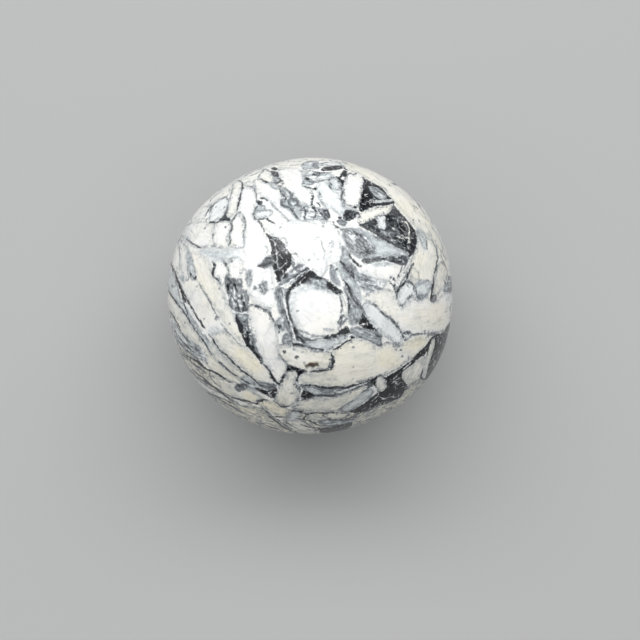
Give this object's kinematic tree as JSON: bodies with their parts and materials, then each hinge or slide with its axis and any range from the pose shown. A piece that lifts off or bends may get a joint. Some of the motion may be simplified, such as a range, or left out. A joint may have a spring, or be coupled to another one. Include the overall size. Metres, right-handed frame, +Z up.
{
  "type": "polished pinolite stone",
  "caption": "Hand-polished ball of pinolite rock, a little out of round: pale magnesite blades in a dark graphite matrix. It stands on a small flat ground into its underside.",
  "frame": {"origin": "in the plane of the resting flat, under the middle of the stone's bounding box", "axes": "+X along the stone's longest level reach, to the right in the picture; +Y away from the viewer, up in the picture; +Z up from the resting flat through the crown"},
  "size_m": [0.0722, 0.0704, 0.066],
  "materials": {
    "polished_pinolite": "high polish; cream-white and blue-grey magnesite blades with dark seams in a black graphite matrix with white veinlets"
  },
  "bodies": {
    "root": {"pinolite_stone": "polished_pinolite"}
  },
  "joints": []
}
